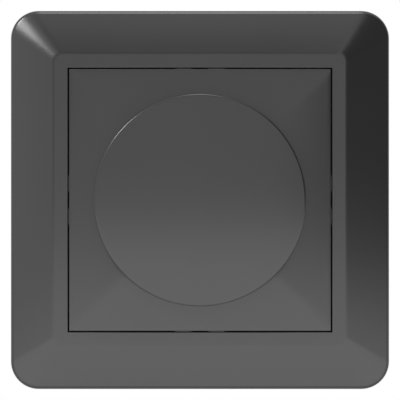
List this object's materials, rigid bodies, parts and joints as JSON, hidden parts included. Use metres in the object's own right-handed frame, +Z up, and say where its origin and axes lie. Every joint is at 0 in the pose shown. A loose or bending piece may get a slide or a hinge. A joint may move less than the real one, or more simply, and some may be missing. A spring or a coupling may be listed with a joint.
{
  "type": "rotary light dimmer",
  "caption": "Flush-mounted rotary light dimmer with a square bevelled cover frame, a vaulted centre plate and a large flat dial that turns to dim and presses to switch.",
  "frame": {"origin": "centre of the device on the wall's surface, between the box-screw slots", "axes": "+X right, +Z up, -Y out of the wall towards the room"},
  "size_m": [0.08, 0.0412, 0.08],
  "materials": {
    "anthracite_plastic": "satin moulded plastic",
    "insert_plastic": "fine spark-eroded grey moulding",
    "housing_plastic": "spark-eroded black moulding",
    "terminal_plastic": "light grey moulding",
    "pusher_plastic": "orange moulding",
    "zinc_steel": "zinc-plated stamped sheet",
    "bright_steel": "nickel-plated",
    "spring_steel": "blued strip",
    "diecast_zinc": "die-cast",
    "brass_rivet": "drawn",
    "spreader_aluminium": "rolled",
    "board_laminate": "lacquered laminate",
    "component_epoxy": "moulded epoxy",
    "film_case": "moulded case",
    "copper_winding": "enamelled wire",
    "capacitor_sleeve": "shrunk sleeve",
    "varistor_coat": "dipped epoxy",
    "white_plastic": "natural nylon"
  },
  "bodies": {
    "base": {"cover_frame": "anthracite_plastic", "centre_plate": "anthracite_plastic", "support_ring": "zinc_steel", "ring_rivets": "brass_rivet", "insert_cover": "insert_plastic", "insert_housing": "housing_plastic", "circuit_board": "board_laminate", "heat_spreader": "spreader_aluminium", "power_transistors": "component_epoxy", "controller_chip": "component_epoxy", "choke": "copper_winding", "film_capacitor": "film_case", "bulk_capacitor": "capacitor_sleeve", "fuse": "component_epoxy", "varistor": "varistor_coat", "trimmer_body": "component_epoxy", "push_switch": "component_epoxy", "potentiometer_case": "diecast_zinc", "potentiometer_back": "component_epoxy", "bushing_washer": "bright_steel", "bushing_nut": "bright_steel", "terminal_block_line": "terminal_plastic", "terminal_block_load": "terminal_plastic", "terminal_block_extension": "terminal_plastic", "claw_pin_left": "bright_steel", "claw_pin_right": "bright_steel"},
    "wiper": {"wiper_rotor": "white_plastic"},
    "knob": {"dial": "anthracite_plastic", "dial_clip": "spring_steel", "potentiometer_shaft": "bright_steel"},
    "plunger": {"switch_plunger": "white_plastic"},
    "trimmer": {"trimmer_rotor": "white_plastic"},
    "pusher_line": {"terminal_pusher_line": "pusher_plastic"},
    "pusher_load": {"terminal_pusher_load": "pusher_plastic"},
    "pusher_extension": {"terminal_pusher_extension": "pusher_plastic"},
    "screw_left": {"claw_screw_left": "bright_steel"},
    "nut_left": {"claw_nut_left": "zinc_steel"},
    "claw_left": {"claw_left": "zinc_steel"},
    "screw_right": {"claw_screw_right": "bright_steel"},
    "nut_right": {"claw_nut_right": "zinc_steel"},
    "claw_right": {"claw_right": "zinc_steel"}
  },
  "joints": [
    {"name": "dial_turn", "type": "hinge", "parent": "base", "child": "wiper", "pos_m": [0, 0, 0], "axis": [0, 1, 0], "range_deg": [-145, 145]},
    {"name": "dial_press", "type": "slide", "parent": "wiper", "child": "knob", "axis": [0, 1, 0], "range_m": [0, 0.0008], "stiffness_N_per_m": 2500, "springref_m": -0.001},
    {"name": "plunger_press", "type": "slide", "parent": "base", "child": "plunger", "axis": [0, 1, 0], "range_m": [0, 0.0008]},
    {"name": "trimmer_turn", "type": "hinge", "parent": "base", "child": "trimmer", "pos_m": [0.0085, 0, -0.0175], "axis": [0, 1, 0], "range_deg": [-130, 130]},
    {"name": "release_line", "type": "slide", "parent": "base", "child": "pusher_line", "axis": [0, -1, 0], "range_m": [0, 0.0012], "stiffness_N_per_m": 1500, "springref_m": -0.001},
    {"name": "release_load", "type": "slide", "parent": "base", "child": "pusher_load", "axis": [0, -1, 0], "range_m": [0, 0.0012], "stiffness_N_per_m": 1500, "springref_m": -0.001},
    {"name": "release_extension", "type": "slide", "parent": "base", "child": "pusher_extension", "axis": [0, -1, 0], "range_m": [0, 0.0012], "stiffness_N_per_m": 1500, "springref_m": -0.001},
    {"name": "claw_screw_turn_left", "type": "hinge", "parent": "base", "child": "screw_left", "pos_m": [-0.0227, 0, 0.0086], "axis": [0, 1, 0], "range_deg": [0, 675]},
    {"name": "claw_nut_travel_left", "type": "slide", "parent": "base", "child": "nut_left", "axis": [0, -1, 0], "range_m": [0, 0.00084375]},
    {"name": "claw_swing_left", "type": "hinge", "parent": "base", "child": "claw_left", "pos_m": [-0.0197, 0.0036, 0.0086], "axis": [0, 0, 1], "range_deg": [0, 18]},
    {"name": "claw_screw_turn_right", "type": "hinge", "parent": "base", "child": "screw_right", "pos_m": [0.0227, 0, -0.0086], "axis": [0, 1, 0], "range_deg": [0, 675]},
    {"name": "claw_nut_travel_right", "type": "slide", "parent": "base", "child": "nut_right", "axis": [0, -1, 0], "range_m": [0, 0.00084375]},
    {"name": "claw_swing_right", "type": "hinge", "parent": "base", "child": "claw_right", "pos_m": [0.0197, 0.0036, -0.0086], "axis": [0, 0, -1], "range_deg": [0, 18]}
  ],
  "couplings": [
    {"joint": "plunger_press", "follows": "dial_press", "ratio": 1},
    {"joint": "claw_screw_turn_left", "follows": "claw_nut_travel_left", "rad_per_m": 13963},
    {"joint": "claw_swing_left", "follows": "claw_nut_travel_left", "rad_per_m": 372.34},
    {"joint": "claw_screw_turn_right", "follows": "claw_nut_travel_right", "rad_per_m": 13963},
    {"joint": "claw_swing_right", "follows": "claw_nut_travel_right", "rad_per_m": 372.34}
  ]
}
